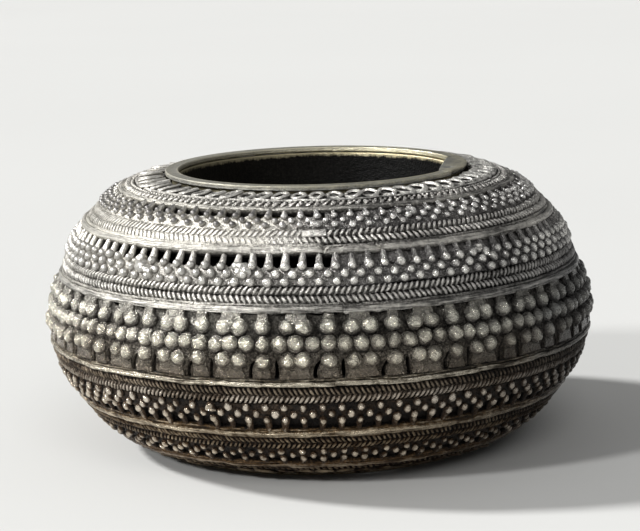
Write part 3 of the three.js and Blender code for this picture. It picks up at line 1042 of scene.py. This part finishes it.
def tabs_round(pattern, along, out, share):
    """One tab in each period, at a share of the way from one rosette to the next."""
    seats = []
    for turn in range(belly_periods):
        place = along + uneven(0.1)
        azimuth = belly_turn + (turn + share) * period + uneven(0.004)
        seats.append(seat(place, azimuth, out + uneven(0.05), uneven(0.06)))
    return lay_copies(pattern, seats)


upper_tab = belly_top + 1.55
lower_tab = belly_bottom - 2.2
tabs = [tabs_round(flat_tab(4.3, 5.4, 3.5, 1.7, -0.7), upper_tab, -0.3, 0),
        tabs_round(flat_tab(2.2, 2.9, 3.5, 1.7, -0.7), upper_tab, -0.3, 0.5),
        tabs_round(flat_tab(2.4, 4.2, 4.0, 0.7, -0.6), lower_tab, -0.05, 0.5),
        tabs_round(flat_tab(4.6, 7.2, 4.0, 0.7, -0.6), lower_tab, -0.05, 0)]
belly = join_pieces(strip, ground, balls, *tabs)
hand_laid(belly, 61, across=0.06)
roughen(belly, 0.05, 7)
finish_piece(belly, belly_finish, "belly_brass", "belly_band", angle=50)

# %% [markdown]
# ## Wire loops round the mouth
# Outside the collar lies a zone of flat wire loops, each lapping over the next like a roof tile. A loop is a
# torus, drawn to a point at both ends and tipped, and is copied round. The foot has the same zone.

# %% Loops
loop_count = 62
wire = 0.58
flatness = 0.8
slimness = 10


def wire_loop(half_width, half_length):
    bpy.ops.mesh.primitive_torus_add(major_segments=20, minor_segments=6, major_radius=mm,
                                     minor_radius=mm / slimness)
    loop = bpy.context.object
    for vertex in loop.data.vertices:
        x, y, z = (value / mm for value in vertex.co)
        reach = math.hypot(x, y)
        x, y = x / reach, y / reach
        drawn_y = math.copysign(abs(y) ** 1.35, y)
        offset = (reach - 1) * slimness * wire
        vertex.co = Vector((half_width * x + offset * x, half_length * drawn_y + offset * y,
                            z * slimness * wire * flatness)) * mm
    return mark_nook(loop, -0.9, -0.1)


# The loops at the foot take the darker low finish, as a painted shadow.
for name, width, out, tilt, finish in (("upper_loop_band", 1.8, 0.3, -0.15, loop_finish),
                                       ("lower_loop_band", 1.9, -0.1, -0.06, shaded_low_rope_finish)):
    start, end = ring_edges[name]
    length = end - start
    pattern = wire_loop(width, length / 2 - 0.75)
    seats = []
    for place in seats_round(loop_count, (start + end) / 2, out, loose=0.2):
        seats.append(place @ Matrix.Rotation(tilt + uneven(0.09), 4, "Y"))
    loops = lay_copies(pattern, seats)
    base = spin_ring(name, [(0, ring_root), (0, -0.1), (0.5, 0.05), (length / 2, 0.0), (length - 1.1, 0.0),
                            (length - 0.9, 0.35), (length - 0.55, 0.5), (length - 0.2, 0.35), (length, 0.0),
                            (length, ring_root)])
    band = join_pieces(base, loops)
    hand_laid(band, 71)
    roughen(band, 0.08, 8)
    finish_piece(band, finish, "loop_brass", name, angle=60)

# %% [markdown]
# ## Collar
# The collar is a flat strip bent round the mouth until its ends nearly meet at the right: an open spin with
# both ends closed. A highlight is painted along its inner edge, and its points are marked for that.

# %% Collar
mouth_radius = 32.6
collar_radius = 35.8
collar_under = 64.1
collar_start = 104.5
collar_sweep = 315
collar_steps = 210
highlight_within = 33
collar_outline = [(mouth_radius, 64.35), (mouth_radius, 64.95), (32.85, 65.2), (33.3, 65.12), (35.2, 65.12),
                  (35.55, 65.2), (collar_radius, 65.0), (collar_radius, 64.3), (35.5, collar_under),
                  (32.85, collar_under)]
collar = spin_part_way(collar_outline, collar_start, collar_sweep, collar_steps)
edge_highlight = collar.data.attributes.new("nook_and_painted_light", "FLOAT", "POINT")
for vertex, mark in zip(collar.data.vertices, edge_highlight.data):
    mark.value = -1.0 if vertex.co.xy.length < highlight_within * mm else 0.0
finish_piece(collar, collar_finish, "collar_brass", "rim_collar")

# %% [markdown]
# ## Lug
# The strip's end is flattened into a lug with a dimple where the maker pressed it down. A grid is bent to
# that shape and given its thickness and rounded edges. An extruded outline would stay flat up to its edges.

# %% Lug
lug_start, lug_end = math.radians(60), math.radians(104)
lug_reach = 30.0
lug_top = 65.42
lug_thickness = 1.25
lug_edge = 0.25
dimple_x, dimple_y = 31.1, -11.5
dimple_depth = 0.45
rows, columns = 14, 56
bpy.ops.mesh.primitive_grid_add(x_subdivisions=columns, y_subdivisions=rows, size=mm)
lug = bpy.context.object
wear = lug.data.attributes.new("nook_and_painted_light", "FLOAT", "POINT")
for vertex, mark in zip(lug.data.vertices, wear.data):
    side, depth = -2 * vertex.co.x / mm, 2 * vertex.co.y / mm
    across = (1 + side * (1 - 0.04 * depth**2)) / 2
    deep = (1 + depth * (1 - 0.12 * side**4)) / 2
    azimuth = lug_start + across * (lug_end - lug_start)
    inner = lug_reach / math.cos(azimuth - (lug_start + lug_end) / 2)
    radius = inner + deep * (collar_radius - inner)
    x, y = radius * math.sin(azimuth), -radius * math.cos(azimuth)
    dimple = dimple_depth * math.exp(-((x - dimple_x) ** 2 + (y - dimple_y) ** 2) / 0.9)
    # A highlight is painted along the lug's inner edge, and dirt darkens the dimple.
    mark.value = -1.0 if depth < -0.9 and side > -0.2 else min(1.0, 2.5 * dimple)
    worn_down = 0.1 * across + 0.2 * max(abs(side), abs(depth)) ** 8
    waver = 0.05 * math.sin(9 * azimuth + radius)
    vertex.co = (x * mm, y * mm, (lug_top - dimple - worn_down + waver) * mm)
thick = lug.modifiers.new("thickness", "SOLIDIFY")
thick.thickness = lug_thickness * mm
thick.offset = -1
edges = lug.modifiers.new("edges", "BEVEL")
edges.width = lug_edge * mm
edges.segments = 2
edges.angle_limit = math.radians(50)
for modifier in ("thickness", "edges"):
    bpy.ops.object.modifier_apply(modifier=modifier)
finish_piece(lug, collar_finish, "collar_brass", "rim_lug")

# %% [markdown]
# ## Lining, floor and foot
# Inside, a smooth sheet tube stands under the collar, and a shallow dish closes it. Below, a flat ring
# carries the bowl. All three are plain turned work.

# %% Lining, floor and foot
lining_radius = 34.2
lining_outline = [(mouth_radius, height) for height in (8.0, 20.0, 40.0, 55.0, 60.0, 61.5, 62.5, 63.6)]
lining_outline += [(32.8, 63.8), (34.0, 63.8), (lining_radius, 63.6), (lining_radius, 8.0)]
lining = spin_outline(lining_outline, 180)
finish_piece(lining, shaded_inner_finish, "inner_brass", "inner_wall")

bend_radius = 27.2
bend_height = 7.6
outer_bend = 7
inner_bend = 5.4
bend_steps = 8


def bend(size):
    """The quarter turn from the dish's floor up to its rim."""
    turns = [i / bend_steps * math.pi / 2 for i in range(1, bend_steps + 1)]
    return [(bend_radius + size * math.sin(turn), bend_height - size * math.cos(turn)) for turn in turns]


dish_outline = [(0.0, bend_height - outer_bend), (bend_radius, bend_height - outer_bend), *bend(outer_bend),
                *reversed(bend(inner_bend)), (bend_radius, bend_height - inner_bend),
                (0.0, bend_height - inner_bend)]
dish = spin_outline(dish_outline, 180)
finish_piece(dish, shaded_inner_finish, "inner_brass", "floor_dish")

foot_outline = [(31.0, 0.2), (31.0, 1.2), (31.2, 1.4), (39.8, 1.4), (39.97, 1.2), (39.97, 0.3), (39.7, 0.0),
                (31.3, 0.0)]
foot = spin_outline(foot_outline)
finish_piece(foot, ridge_finish, "ridge_brass", "foot_ring")
